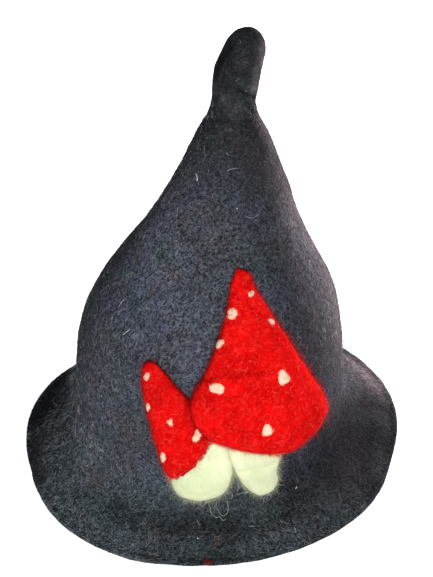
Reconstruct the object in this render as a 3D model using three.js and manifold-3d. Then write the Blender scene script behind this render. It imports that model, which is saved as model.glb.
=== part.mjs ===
// A wool felt sauna hat: one seamless felted hat with a flaring brim, a full crown and a stubby
// finger at its tip, and two needle-felted toadstools with pale dots on the front of the crown.
// Millimetres, +Z up, front towards -Y. The hat stands on the edge of its brim at z = 0, and the
// origin is the middle of that footprint.

import * as THREE from "three";
import { mergeVertices } from "three/addons/utils/BufferGeometryUtils.js";
import Module from "manifold-3d";

// Driving dimensions of the hat
const FELT_WALL = 3;
const EDGE_ROUND = 1; // how far the brim's cut edge bulges between its two faces
const FINGER_DOME = 14.5; // the rounded end above the finger's top section
const HOLLOW_TOP = "finger root"; // above this section the finger is felted solid

// Driving dimensions of the toadstools
const SEAT_GAP = 0.55; // between a felted piece and what it sits on
const EDGE_RISE = 0.3; // share of a piece's thickness at which it is widest
const FOOT_SHARE = 0.9; // share of its outline that touches the hat
const PUFF = 0.6; // how square its top is, from 0 for a box to 1 for an ellipse
const DOT_HEIGHT = 1.6;

// Fineness of the facets
const AROUND = 44;
const RINGS_PER_SECTION = 3;
const DOME_RINGS = 4;
const PIECE_SIDES = 34;
const PIECE_TOP_RINGS = 6;
const PIECE_FOOT_RINGS = 5;
const DOT_SIDES = 12;
const DOT_RINGS = 3;

// Sections of the hat's outer face, from the brim's edge up to the finger. Each is an oval:
// right and back place its centre, and lean tips it to the right, in degrees.
const SECTIONS = [
  { name: "brim edge", height: 2.6, half_width: 130, half_depth: 134, right: 0, back: 0, lean: 0 },
  { name: "brim rest", height: 2.8, half_width: 125, half_depth: 129, right: 0, back: 0, lean: 0 },
  { name: "brim outer", height: 8, half_width: 117, half_depth: 122, right: 0, back: 0, lean: 0 },
  { name: "brim inner", height: 13, half_width: 105, half_depth: 110.5, right: 0, back: 0, lean: 0 },
  { name: "root", height: 28, half_width: 93.5, half_depth: 100, right: -1, back: 0, lean: 0 },
  { name: "head", height: 60, half_width: 90, half_depth: 95, right: -1, back: 0, lean: 0 },
  { name: "belly", height: 88, half_width: 87, half_depth: 91, right: 0, back: 0, lean: 0 },
  { name: "shoulder", height: 115, half_width: 79, half_depth: 82, right: 3, back: 0, lean: 0 },
  { name: "slope low", height: 141, half_width: 63, half_depth: 66, right: 6, back: 1, lean: 0 },
  { name: "slope middle", height: 168, half_width: 47, half_depth: 50, right: 10, back: 3, lean: 0 },
  { name: "slope high", height: 195, half_width: 35, half_depth: 36, right: 14, back: 5, lean: 0 },
  { name: "neck", height: 222, half_width: 23, half_depth: 24, right: 16, back: 7, lean: 2 },
  { name: "finger root", height: 240, half_width: 14, half_depth: 15.5, right: 16.5, back: 8, lean: 4 },
  { name: "finger middle", height: 260, half_width: 14.5, half_depth: 13.5, right: 18, back: 7, lean: 12 },
  { name: "finger top", height: 278, half_width: 12.5, half_depth: 12, right: 23.2, back: 4, lean: 25 },
];

// Where the brim's outline swells or tucks in: angle from +X, spread to either side, reach outwards.
const BRIM_WAVES = [
  { name: "front left swell", angle: 236, spread: 28, reach: 6 },
  { name: "left tuck", angle: 196, spread: 14, reach: -2 },
  { name: "back left tuck", angle: 139, spread: 15, reach: -7 },
  { name: "back right swell", angle: 30, spread: 22, reach: 2 },
  { name: "right tuck", angle: 343, spread: 14, reach: -4 },
];

// Dents pressed into the hat: height and angle of the middle, how tall and wide, and how deep.
const DENTS = [
  { name: "finger crease", height: 245, angle: 310, tall: 4, wide: 40, depth: 2.5 },
  { name: "finger flat", height: 264, angle: 205, tall: 16, wide: 30, depth: 2.5 },
];

// Felted pieces on the hat's front, as seen from straight ahead: a middle, a thickness that runs
// from the top of the outline to its bottom, and the outline's corners.
const LARGE_CAP = {
  name: "large_cap",
  middle: { across: 29, height: 82 },
  thick: { top: 7, bottom: 18 },
  outline: [
    { across: 13, height: 155.5 },
    { across: 15, height: 161.8 },
    { across: 22.5, height: 161.4 },
    { across: 25.5, height: 153.5 },
    { across: 33, height: 140 },
    { across: 48, height: 115 },
    { across: 59.5, height: 90 },
    { across: 66, height: 72 },
    { across: 65, height: 63.5 },
    { across: 56.5, height: 57 },
    { across: 43, height: 53.5 },
    { across: 18, height: 62.5 },
    { across: -4, height: 73.5 },
    { across: -12, height: 90 },
    { across: -2.5, height: 111 },
    { across: 7, height: 131 },
  ],
};
const SMALL_CAP = {
  name: "small_cap",
  middle: { across: -22, height: 69 },
  thick: { top: 6, bottom: 15 },
  outline: [
    { across: -39.5, height: 107.5 },
    { across: -34.5, height: 112.5 },
    { across: -20, height: 101 },
    { across: -5, height: 83 },
    { across: 2.5, height: 64.5 },
    { across: -10.5, height: 47 },
    { across: -19.5, height: 41.5 },
    { across: -24.5, height: 43.5 },
    { across: -28.3, height: 52 },
    { across: -34.2, height: 74 },
  ],
};
const LARGE_STEM = {
  name: "large_stem",
  middle: { across: 28, height: 45 },
  thick: { top: 11, bottom: 14 },
  outline: [
    { across: 10, height: 72 },
    { across: 38.5, height: 66 },
    { across: 36.5, height: 41.5 },
    { across: 37, height: 33.5 },
    { across: 35, height: 27.5 },
    { across: 28.5, height: 24 },
    { across: 21, height: 29.5 },
    { across: 13, height: 45 },
  ],
};
const SMALL_STEM = {
  name: "small_stem",
  middle: { across: -7, height: 42 },
  thick: { top: 11, bottom: 15 },
  outline: [
    { across: -20, height: 62 },
    { across: 2, height: 78 },
    { across: 10.5, height: 62 },
    { across: 10, height: 40 },
    { across: 4.5, height: 30 },
    { across: -8, height: 26 },
    { across: -20, height: 30 },
    { across: -24, height: 41 },
  ],
};

const RED_WOOL = new THREE.MeshStandardMaterial({ color: 0xd81e1a, roughness: 0.95, metalness: 0 });
const PALE_WOOL = new THREE.MeshStandardMaterial({ color: 0xe6ebc6, roughness: 0.95, metalness: 0 });
const DOT_WOOL = new THREE.MeshStandardMaterial({ color: 0xf7e4c8, roughness: 0.95, metalness: 0 });
const DARK_FELT = new THREE.MeshStandardMaterial({ color: 0x3a3d43, roughness: 0.97, metalness: 0 });

// Dots on the caps, as seen from straight ahead.
const DOTS = {
  large_cap: [
    { across: 25, height: 152, radius: 2.5 },
    { across: 13.5, height: 143.5, radius: 3.2 },
    { across: 6, height: 129, radius: 3 },
    { across: 37, height: 136, radius: 2.2 },
    { across: 4, height: 107.5, radius: 4 },
    { across: 43.5, height: 108, radius: 4 },
    { across: 33.5, height: 79.5, radius: 3.8 },
  ],
  small_cap: [
    { across: -38.5, height: 106, radius: 2.6 },
    { across: -38, height: 89.5, radius: 2.4 },
    { across: -25, height: 84, radius: 2.6 },
    { across: -8.5, height: 76.5, radius: 2.3 },
    { across: -30, height: 60, radius: 2.6 },
  ],
};

const { degToRad, radToDeg, clamp, lerp, euclideanModulo } = THREE.MathUtils;
const wasm = await Module();
wasm.setup();

// One closed skin over a run of rings, each a loop of points or a single pole.
function skin(rings) {
  const positions = [];
  const starts = rings.map((ring) => {
    const start = positions.length / 3;
    ring.forEach((p) => positions.push(p.x, p.y, p.z));
    return start;
  });
  const index = [];
  for (let r = 0; r + 1 < rings.length; r += 1) {
    const [low, high] = [rings[r].length > 1, rings[r + 1].length > 1];
    const count = Math.max(rings[r].length, rings[r + 1].length);
    for (let i = 0; i < count; i += 1) {
      const next = (i + 1) % count;
      const [a, b] = low ? [starts[r] + i, starts[r] + next] : [starts[r], starts[r]];
      const [d, c] = high ? [starts[r + 1] + i, starts[r + 1] + next] : [starts[r + 1], starts[r + 1]];
      if (low) index.push(a, b, c);
      if (high) index.push(a, c, d);
    }
  }
  const geometry = new THREE.BufferGeometry();
  geometry.setAttribute("position", new THREE.Float32BufferAttribute(positions, 3));
  geometry.setIndex(index);
  return geometry;
}

function middleOf(ring) {
  return ring.reduce((sum, p) => sum.add(p), new THREE.Vector3()).divideScalar(ring.length);
}

// The hat's outer face

const sizes = new THREE.CatmullRomCurve3(
  SECTIONS.map((s) => new THREE.Vector3(s.half_width, s.half_depth, s.height)),
);
const places = new THREE.CatmullRomCurve3(
  SECTIONS.map((s) => new THREE.Vector3(s.right, s.back, s.lean)),
);
const sectionIndex = (name) => SECTIONS.findIndex((s) => s.name === name);
const shareOf = (name) => sectionIndex(name) / (SECTIONS.length - 1);

// A soft bump that is 1 in its middle, for an angle in radians and a middle and spread in degrees.
function bump(angle, middle, spread) {
  const off = euclideanModulo(radToDeg(angle) - middle + 180, 360) - 180;
  return Math.exp(-((off / spread) ** 2));
}

// How far the face stands out of its section's oval, in the brim's waves and the dents.
function standOut(share, height, angle) {
  const onBrim = Math.max(0, 1 - share / shareOf("root"));
  const waves = BRIM_WAVES.map((w) => onBrim * w.reach * bump(angle, w.angle, w.spread));
  const dents = DENTS.map((d) => {
    const level = Math.exp(-(((height - d.height) / d.tall) ** 2));
    return -d.depth * level * bump(angle, d.angle, d.wide);
  });
  return [...waves, ...dents].reduce((sum, x) => sum + x, 0);
}

function ovalPoint(size, place, angle) {
  const lean = degToRad(place.z);
  const across = size.x * Math.cos(angle);
  return new THREE.Vector3(
    place.x + across * Math.cos(lean),
    place.y + size.y * Math.sin(angle),
    size.z - across * Math.sin(lean),
  );
}

// share runs from 0 at the brim's edge to 1 at the finger's top section.
function hatPoint(share, angle) {
  const size = sizes.getPoint(share);
  const extra = standOut(share, size.z, angle);
  size.x += extra;
  size.y += extra;
  return ovalPoint(size, places.getPoint(share), angle);
}

function hatNormal(share, angle) {
  const step = 1e-3;
  const up = hatPoint(Math.min(1, share + step), angle).sub(hatPoint(Math.max(0, share - step), angle));
  const round = hatPoint(share, angle + step).sub(hatPoint(share, angle - step));
  return round.cross(up).normalize();
}

// The hat as one wall of felt, open below

const angles = Array.from({ length: AROUND }, (_, i) => (i / AROUND) * 2 * Math.PI);

const outerRing = (share) => angles.map((a) => hatPoint(share, a));

// The inner face lies one wall inside, and is pressed flat where it would reach below the ground.
function innerRing(share) {
  return angles.map((a) => {
    const p = hatPoint(share, a).addScaledVector(hatNormal(share, a), -FELT_WALL);
    return new THREE.Vector3(p.x, p.y, Math.max(0, p.z));
  });
}

// Halfway up the brim's cut edge, where it bulges.
function edgeRing() {
  return outerRing(0).map((p, i) => new THREE.Vector3(
    p.x + EDGE_ROUND * Math.cos(angles[i]),
    p.y + EDGE_ROUND * Math.sin(angles[i]),
    p.z / 2,
  ));
}

function domeRings() {
  const size = sizes.getPoint(1);
  const place = places.getPoint(1);
  const lean = degToRad(place.z);
  const axis = new THREE.Vector3(Math.sin(lean), 0, Math.cos(lean));
  const rings = [];
  for (let i = 1; i < DOME_RINGS; i += 1) {
    const turn = (i / DOME_RINGS) * (Math.PI / 2);
    const narrowed = new THREE.Vector3(size.x * Math.cos(turn), size.y * Math.cos(turn), size.z);
    const rise = FINGER_DOME * Math.sin(turn);
    rings.push(angles.map((a) => ovalPoint(narrowed, place, a).addScaledVector(axis, rise)));
  }
  const centre = new THREE.Vector3(place.x, place.y, size.z);
  return [...rings, [centre.addScaledVector(axis, FINGER_DOME)]];
}

function hatGeometry() {
  const rows = (SECTIONS.length - 1) * RINGS_PER_SECTION;
  const hollowRows = sectionIndex(HOLLOW_TOP) * RINGS_PER_SECTION;
  const inner = [];
  for (let i = hollowRows; i >= 0; i -= 1) inner.push(innerRing(i / rows));
  const outer = [];
  for (let i = 0; i <= rows; i += 1) outer.push(outerRing(i / rows));
  return skin([[middleOf(inner[0])], ...inner, edgeRing(), ...outer, ...domeRings()]);
}

// Felted pieces that lie on the hat's front

function shareAtHeight(height) {
  let [low, high] = [shareOf("brim rest"), shareOf("neck")];
  while (high - low > 1e-6) {
    const half = (low + high) / 2;
    if (sizes.getPoint(half).z < height) low = half;
    else high = half;
  }
  return low;
}

// The point of the hat's front at a place seen from straight ahead, lifted off the felt.
function onFront(across, height, lift) {
  const share = shareAtHeight(height);
  const [size, place] = [sizes.getPoint(share), places.getPoint(share)];
  const angle = -Math.acos(clamp((across - place.x) / size.x, -1, 1));
  return hatPoint(share, angle).addScaledVector(hatNormal(share, angle), lift);
}

// A puffed piece: a rounded top, a widest line, and a foot that follows the hat. grow widens it
// all over, for cutting room for it out of its neighbours.
function pieceGeometry(piece, grow = 0) {
  const corners = piece.outline.map((p) => new THREE.Vector3(p.across, p.height, 0));
  const outline = new THREE.CatmullRomCurve3(corners, true).getSpacedPoints(PIECE_SIDES).slice(1);
  const middle = new THREE.Vector3(piece.middle.across, piece.middle.height, 0);
  const heights = corners.map((p) => p.y);
  const [bottom, top] = [Math.min(...heights), Math.max(...heights)];

  const ring = (share, rise) => outline.map((p) => {
    const spoke = p.clone().sub(middle);
    const spot = middle.clone().addScaledVector(spoke, share);
    spot.addScaledVector(spoke.normalize(), grow * share);
    const level = clamp((spot.y - bottom) / (top - bottom), 0, 1);
    const thick = lerp(piece.thick.bottom, piece.thick.top, level) + 2 * grow;
    return onFront(spot.x, spot.y, SEAT_GAP - grow + rise * thick);
  });

  const rings = [];
  for (let i = 1; i <= PIECE_TOP_RINGS; i += 1) {
    const turn = (i / PIECE_TOP_RINGS) * (Math.PI / 2);
    rings.push(ring(Math.sin(turn), lerp(EDGE_RISE, 1, Math.cos(turn) ** PUFF)));
  }
  rings.push(ring((1 + FOOT_SHARE) / 2, EDGE_RISE / 3));
  for (let i = PIECE_FOOT_RINGS; i >= 1; i -= 1) rings.push(ring(FOOT_SHARE * (i / PIECE_FOOT_RINGS), 0));
  const [topPole, footPole] = [ring(0, 1)[0], ring(0, 0)[0]];
  return skin([[topPole], ...rings, [footPole]]);
}

function solidOf(geometry) {
  const merged = mergeVertices(geometry, 1e-4);
  return new wasm.Manifold(new wasm.Mesh({
    numProp: 3,
    vertProperties: merged.attributes.position.array,
    triVerts: Uint32Array.from(merged.index.array),
  }));
}

function geometryOf(solid) {
  const mesh = solid.getMesh();
  const geometry = new THREE.BufferGeometry();
  geometry.setAttribute("position", new THREE.Float32BufferAttribute(mesh.vertProperties, 3));
  geometry.setIndex([...mesh.triVerts]);
  return geometry;
}

// A piece with room cut out of it for the pieces that lie over it or beside it.
function cutPiece(piece, neighbours) {
  const rooms = neighbours.map((n) => solidOf(pieceGeometry(n, SEAT_GAP)));
  return geometryOf(rooms.reduce((left, room) => left.subtract(room), solidOf(pieceGeometry(piece))));
}

function addMesh(group, name, geometry, material) {
  geometry.computeVertexNormals();
  const mesh = new THREE.Mesh(geometry, material);
  mesh.name = name;
  group.add(mesh);
  return mesh;
}

// A low dome with a flat foot, about its own Z axis.
function dotGeometry(radius) {
  const ring = (turn) => Array.from({ length: DOT_SIDES }, (_, i) => {
    const angle = (i / DOT_SIDES) * 2 * Math.PI;
    const reach = radius * Math.cos(turn);
    return new THREE.Vector3(reach * Math.cos(angle), reach * Math.sin(angle), DOT_HEIGHT * Math.sin(turn));
  });
  const rings = [];
  for (let i = 0; i < DOT_RINGS; i += 1) rings.push(ring((i / DOT_RINGS) * (Math.PI / 2)));
  return skin([[new THREE.Vector3(0, 0, 0)], ...rings, [new THREE.Vector3(0, 0, DOT_HEIGHT)]]);
}

// Each dot sits flat on the facet of its cap that lies behind it, seen from straight ahead.
function addDots(group, cap) {
  const ahead = new THREE.Vector3(0, 1, 0);
  cap.updateMatrixWorld(true);
  DOTS[cap.name].forEach((dot, i) => {
    const eye = new THREE.Vector3(dot.across, -2 * SECTIONS[0].half_depth, dot.height);
    const [hit] = new THREE.Raycaster(eye, ahead).intersectObject(cap);
    const mesh = addMesh(group, `${cap.name}_dot_${i + 1}`, dotGeometry(dot.radius), DOT_WOOL);
    mesh.position.copy(hit.point).addScaledVector(hit.face.normal, SEAT_GAP);
    mesh.quaternion.setFromUnitVectors(new THREE.Vector3(0, 0, 1), hit.face.normal);
  });
}

const hat = new THREE.Group();
const body = addMesh(hat, "hat_body", hatGeometry(), DARK_FELT);
const largeCap = addMesh(hat, LARGE_CAP.name, cutPiece(LARGE_CAP, []), RED_WOOL);
const smallCap = addMesh(hat, SMALL_CAP.name, cutPiece(SMALL_CAP, [LARGE_CAP]), RED_WOOL);
addMesh(hat, LARGE_STEM.name, cutPiece(LARGE_STEM, [LARGE_CAP]), PALE_WOOL);
addMesh(hat, SMALL_STEM.name, cutPiece(SMALL_STEM, [LARGE_CAP, SMALL_CAP, LARGE_STEM]), PALE_WOOL);
addDots(hat, largeCap);
addDots(hat, smallCap);

const footprint = new THREE.Box3().setFromObject(body).getCenter(new THREE.Vector3());
hat.position.set(-footprint.x, -footprint.y, 0);

export default hat;
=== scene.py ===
"""Looks of a dark felt sauna hat with two needle-felted toadstools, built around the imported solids."""
import math

import bmesh
import bpy
import numpy as np
from mathutils import Matrix, Vector, noise
from mathutils.bvhtree import BVHTree


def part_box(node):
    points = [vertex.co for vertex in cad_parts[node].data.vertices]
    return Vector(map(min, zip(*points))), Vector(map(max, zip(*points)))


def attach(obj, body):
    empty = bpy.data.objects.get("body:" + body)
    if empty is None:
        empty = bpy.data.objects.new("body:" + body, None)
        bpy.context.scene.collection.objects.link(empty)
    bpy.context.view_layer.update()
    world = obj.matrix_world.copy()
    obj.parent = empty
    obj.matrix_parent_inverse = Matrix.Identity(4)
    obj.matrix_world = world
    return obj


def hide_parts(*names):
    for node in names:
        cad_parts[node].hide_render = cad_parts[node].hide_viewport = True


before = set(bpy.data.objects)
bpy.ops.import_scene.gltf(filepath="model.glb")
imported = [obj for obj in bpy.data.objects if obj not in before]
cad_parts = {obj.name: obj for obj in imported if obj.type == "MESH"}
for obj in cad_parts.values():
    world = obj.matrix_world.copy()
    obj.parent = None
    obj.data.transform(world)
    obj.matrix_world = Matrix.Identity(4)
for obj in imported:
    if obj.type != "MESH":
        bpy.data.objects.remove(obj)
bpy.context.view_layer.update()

MM = 0.001
BODY = "root"

# The photograph's frame and view, from which the camera and the pixel places below follow
PHOTO_WIDTH = 433
PHOTO_HEIGHT = 577
FOCAL_PIXELS = 1290
VIEW_ELEVATION = math.radians(33)
VIEW_ROLL = math.radians(-1)
VIEW_DISTANCE = 840 * MM
VIEW_AIM = Vector((4.58, 0.69, 115)) * MM
SENSOR = 36

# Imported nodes: how near their corners are welded, and how far apart the triangles of a pair may turn
WELD_REACH = 0.01 * MM
PAIR_TURN = math.radians(60)

# Sizes under which a triangle or a vector has no direction
SMALLEST_AREA = 1e-15
SMALLEST_LENGTH = 1e-12

# Lumps: how far their noise is moved from one size to the next, and from one piece to the next
SIZE_SHIFT = 7.3
SEED_SHIFT = 3.1

# Felt body: how far it is subdivided, and its lumps as wave size and depth
FELT_LEVELS = 2
FELT_SEED = 1.0
FELT_LUMPS = [(34 * MM, 0.6 * MM), (12 * MM, 0.4 * MM), (5 * MM, 0.25 * MM)]

# Heights between which the felt's colour passes from brim to crown and from crown to finger
BRIM_RISE = (14 * MM, 40 * MM)
FINGER_RISE = (175 * MM, 245 * MM)

# How far the felt's fine pattern is smoothed out on the finger and where the rose rim light is painted
FINGER_SMOOTH = 0.45
RIM_LIGHT_SMOOTH = 0.6

# Needle-felted wool: remeshing, smoothing, swelling, and lumps as wave size and depth
WOOL_VOXEL = {"large_cap": 0.8 * MM, "small_cap": 0.6 * MM, "large_stem": 0.9 * MM, "small_stem": 0.9 * MM}
WOOL_SMOOTHING = {"iterations": 7, "factor": 0.5}
WOOL_SWELL = 0.15 * MM
WOOL_SEED = 3.0
CAP_LUMPS = [(18 * MM, 0.8 * MM), (7 * MM, 0.45 * MM), (2.8 * MM, 0.2 * MM)]
STEM_LUMPS = [(16 * MM, 0.8 * MM), (8 * MM, 0.3 * MM)]

# Creases pressed into each piece: width and depth in millimetres, and line of photograph pixels
CREASES = {
    "hat_body": [
        (1.5, 0.8, [(237, 36), (231, 50), (227, 60), (223, 70), (221, 79)]),
        (1.6, 1.7, [(238, 90), (246, 94), (254, 97)]),
        (1.4, 0.8, [(244, 99), (248, 105), (252, 111)]),
    ],
    "large_cap": [(2.6, 1.3, [(206, 379), (225, 373), (245, 371), (262, 372)])],
    "large_stem": [(2.0, 1.5, [(240, 473), (252, 471), (264, 469), (274, 464)])],
    "small_stem": [
        (2.2, 1.2, [(203, 459), (211, 458), (219, 450)]),
        (5.0, 2.2, [(166, 480), (178, 474), (190, 466), (202, 456), (209, 444)]),
    ],
}

# Painted light and shade of each piece: width in millimetres, fall, shade, and line of photograph pixels
PAINTED_LIGHT_AND_SHADE = {
    "hat_body": [
        # Finger and neck
        (3.2, 4, -0.7, [(230, 45), (226, 52), (222, 60), (218, 68), (216, 78)]),
        (5.0, 2, -0.24, [(238, 60), (248, 60)]),
        (3.8, 2, 0.8, [(261, 48), (261, 60), (256, 74), (254, 88), (252, 96)]),
        (1.1, 4, -0.75, [(238, 90), (246, 94), (254, 97)]),
        (2.4, 2, 0.8, [(241, 83), (248, 87), (254, 90)]),
        (1.0, 4, -0.5, [(244, 99), (248, 105), (252, 111)]),
        (6.5, 2, 0.55, [(224, 100), (233, 102), (243, 104)]),
        (4, 2, 0.7, [(226, 42), (231, 35), (238, 29)]),
        (2.5, 2, 0.6, [(259, 113), (264, 126), (271, 142)]),
        (6, 2, -0.3, [(250, 116), (256, 132), (264, 150)]),
        (1.0, 4, 0.35, [(219, 115), (231, 116), (244, 118)]),
        (1.5, 4, -0.3, [(212, 121), (230, 122), (250, 122)]),
        # Left of the brim, and the crown's left foot
        (12, 5, -0.7, [(60, 377), (48, 397), (38, 417)]),
        (8, 2, -0.45, [(36, 444), (37, 458), (41, 474)]),
        (4.5, 4, 1.4, [(74, 367), (72.5, 384), (72, 398), (66, 410), (60, 422)]),
        (5, 4, 1.4, [(75.5, 372), (75, 386), (74.5, 398), (70, 410)]),
        (5, 4, 0.45, [(77.5, 370), (77, 386), (77, 400)]),
        (12, 2, 0.2, [(66, 455), (68, 488), (74, 518)]),
        (12, 2, 0.3, [(70, 412), (78, 424), (88, 438)]),
        (10, 2, 0.5, [(92, 455), (82, 468), (78, 478)]),
        # Right of the brim
        (24, 2, -0.7, [(325, 462), (340, 450), (355, 440), (380, 440)]),
        (14, 2, -0.48, [(370, 468), (370, 488)]),
        (11, 2, -0.5, [(286, 456), (290, 475), (290, 498)]),
        (12, 2, -0.38, [(318, 432), (340, 428), (362, 430), (392, 432)]),
        # Front of the brim
        (9, 2, -0.38, [(120, 512), (150, 520), (190, 527), (230, 527)]),
        (12, 2, 0.3, [(125, 484), (140, 490), (155, 494)]),
        (20, 2, 0.6, [(55, 455), (78, 482), (104, 512), (135, 540), (170, 556)]),
        (6, 2, 0.7, [(42, 495), (62, 521), (92, 542), (135, 556)]),
        (8, 2, -0.25, [(150, 548), (185, 556), (215, 556)]),
        (8, 2, 0.35, [(245, 556), (275, 548), (300, 536)]),
        # Crown
        (11, 2, -0.2, [(165, 185), (135, 232), (100, 285), (85, 330), (78, 362)]),
        (25, 2, 0.32, [(175, 205), (145, 255), (115, 310), (106, 370), (96, 430)]),
        (22, 2, 0.3, [(160, 255), (172, 300), (186, 345)]),
        (13, 2, -0.3, [
            (243, 140), (255, 190), (270, 245), (285, 285), (300, 325), (312, 360), (318, 395),
        ]),
        (8, 2, -0.2, [(287, 235), (296, 262)]),
        (11, 2, -0.26, [(330, 335), (334, 370), (340, 405), (342, 430)]),
        (24, 2, 0.85, [(296, 215), (311, 240), (322, 262), (332, 290), (336, 320)]),
        # Right-hand back of the brim
        (13, 2, 1.2, [(344, 351), (356, 358), (368, 368), (378, 379)]),
        (11, 2, 0.6, [(350, 366), (356, 371), (363, 378)]),
        (12, 2, -0.6, [(345, 408), (362, 404), (382, 408)]),
    ],
    "small_cap": [
        (4, 2, -0.4, [(186, 398), (190, 412), (195, 425), (203, 436)]),
        (8, 2, -0.15, [(166, 392), (170, 402), (173, 414)]),
    ],
    "large_cap": [
        (3, 2, -0.15, [(206, 379), (225, 373), (245, 371), (262, 372)]),
        (10, 2, -0.17, [(216, 402), (228, 412), (240, 422)]),
    ],
    "large_stem": [(6, 2, -0.1, [(245, 484), (256, 483), (268, 482)])],
    "small_stem": [(7, 2, 0.07, [(190, 484), (203, 478), (213, 466)])],
}

# Painted rose rim light on the felt's right side: width in millimetres, share, and line of photograph pixels
RIM_LIGHT_ROSES = [
    (4, 0.9, [(262, 48), (261, 62), (257, 76), (256, 92)]),
    (4, 0.9, [(259, 112), (265, 128), (270, 142)]),
    (23, 0.9, [
        (270, 158), (286, 185), (296, 215), (311, 240), (322, 262), (332, 290), (336, 320), (340, 345),
    ]),
    (22, 0.9, [(344, 362), (356, 366), (370, 378), (384, 398)]),
    (18, 0.55, [(288, 240), (302, 285), (314, 330), (322, 380)]),
    (24, 0.6, [(322, 405), (335, 435), (345, 460)]),
]

# Dots: the outline of each tuft, with its stretch and corners counted from its turn in degrees
DOT_SIDES = 36
DOT_RINGS = 8
DOT_TUCK = 0.5 * MM
DOT_FOOT = 1.0 * MM
DOT_DOME_FALL = 2
DOT_TUCK_FALL = 6
DOT_RIM_FALL = 7
DOT_RAGS = {"waves": 9, "depth": 0.02}
DOT_SEED_STEP = 0.1
DOT_LUMPS = [(3.2 * MM, 0.3 * MM), (1.4 * MM, 0.2 * MM)]
DOT_COLUMNS = ("node", "radius", "height", "stretch", "corners", "corner_depth", "turn")
DOT_ROWS = [
    ("large_cap_dot_1", 1.9 * MM, 0.5 * MM, 0.15, 3, 0.1, 20),
    ("large_cap_dot_2", 3.6 * MM, 1.0 * MM, 0.04, 5, 0.05, 70),
    ("large_cap_dot_3", 3.4 * MM, 1.1 * MM, 0.18, 3, 0.14, 60),
    ("large_cap_dot_4", 1.9 * MM, 0.6 * MM, 0.2, 3, 0.1, 110),
    ("large_cap_dot_5", 4.3 * MM, 1.0 * MM, 0.16, 3, 0.08, 175),
    ("large_cap_dot_6", 4.8 * MM, 1.1 * MM, 0.12, 3, 0.12, 100),
    ("large_cap_dot_7", 4.2 * MM, 1.0 * MM, 0.06, 3, 0.14, 90),
    ("small_cap_dot_1", 2.4 * MM, 0.8 * MM, 0.15, 3, 0.1, 80),
    ("small_cap_dot_2", 2.3 * MM, 0.5 * MM, 0.2, 4, 0.06, 90),
    ("small_cap_dot_3", 2.3 * MM, 0.5 * MM, 0.1, 3, 0.16, 300),
    ("small_cap_dot_4", 3.4 * MM, 0.9 * MM, 0.3, 2, 0.1, 60),
    ("small_cap_dot_5", 3.0 * MM, 0.8 * MM, 0.3, 4, 0.05, 85),
]
DOTS = [dict(zip(DOT_COLUMNS, row)) for row in DOT_ROWS]

# Fibres: how many lie on each piece, and how long, thick, curly and raised they are
THREAD_SIDES = 3
END_FALL = 8
UNDERSIDE_TURN = -0.05
INSIDE_SHARE = 0.3
FINGER_SHARE = 0.15
BRIM_SHARE = 1.8
FIBRE_COLUMNS = (
    "name", "on", "tone", "count", "steps", "seed", "length", "radius", "curl", "wave", "lift", "tuck",
)
FIBRE_ROWS = [
    ("felt_fibres_pale", "hat_body", "pale_felt_fibre", 5500, 6, 10,
     (4.0 * MM, 10.0 * MM), (0.055 * MM, 0.095 * MM), 3.2, 1.8, 0.4 * MM, 0.25 * MM),
    ("felt_fibres_light", "hat_body", "light_felt_fibre", 8000, 5, 11,
     (3.0 * MM, 7.0 * MM), (0.07 * MM, 0.12 * MM), 2.6, 1.2, 0.35 * MM, 0.25 * MM),
    ("felt_fibres_middle", "hat_body", "middle_felt_fibre", 3500, 5, 12,
     (3.0 * MM, 7.5 * MM), (0.1 * MM, 0.16 * MM), 2.4, 1.0, 0.3 * MM, 0.25 * MM),
    ("felt_fibres_dark", "hat_body", "dark_felt_fibre", 2000, 5, 13,
     (2.5 * MM, 6.0 * MM), (0.1 * MM, 0.17 * MM), 2.0, 1.0, 0.2 * MM, 0.25 * MM),
    ("large_cap_fibres", "large_cap", "red_fibre", 2800, 5, 21,
     (3.0 * MM, 8.0 * MM), (0.06 * MM, 0.11 * MM), 2.2, 1.0, 0.25 * MM, 0.15 * MM),
    ("large_cap_pale_fibres", "large_cap", "pink_fibre", 220, 5, 22,
     (3.0 * MM, 8.0 * MM), (0.05 * MM, 0.09 * MM), 2.4, 1.0, 0.4 * MM, 0.15 * MM),
    ("small_cap_fibres", "small_cap", "red_fibre", 1000, 5, 23,
     (3.0 * MM, 8.0 * MM), (0.06 * MM, 0.1 * MM), 2.0, 1.0, 0.25 * MM, 0.15 * MM),
    ("small_cap_pale_fibres", "small_cap", "pink_fibre", 70, 5, 24,
     (3.0 * MM, 7.0 * MM), (0.05 * MM, 0.09 * MM), 2.2, 1.0, 0.4 * MM, 0.15 * MM),
    ("large_stem_fibres", "large_stem", "pale_fibre", 300, 5, 25,
     (4.0 * MM, 10.0 * MM), (0.05 * MM, 0.08 * MM), 1.2, 0.8, 0.1 * MM, 0.1 * MM),
    ("small_stem_fibres", "small_stem", "pale_fibre", 400, 5, 26,
     (4.0 * MM, 10.0 * MM), (0.05 * MM, 0.08 * MM), 1.2, 0.8, 0.1 * MM, 0.1 * MM),
]
FIBRES = [dict(zip(FIBRE_COLUMNS, row)) for row in FIBRE_ROWS]
FELT_FIBRES = [row for row in FIBRES if row["on"] == "hat_body"]
WOOL_FIBRES = [row for row in FIBRES if row["on"] != "hat_body"]
FELT_TONES = [row["tone"] for row in FELT_FIBRES]

# How dark and how pale the felt's painted light and shade may make its fibres
FIBRE_PAINTED_LIGHT_RANGE = (0.15, 1.6)

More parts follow.
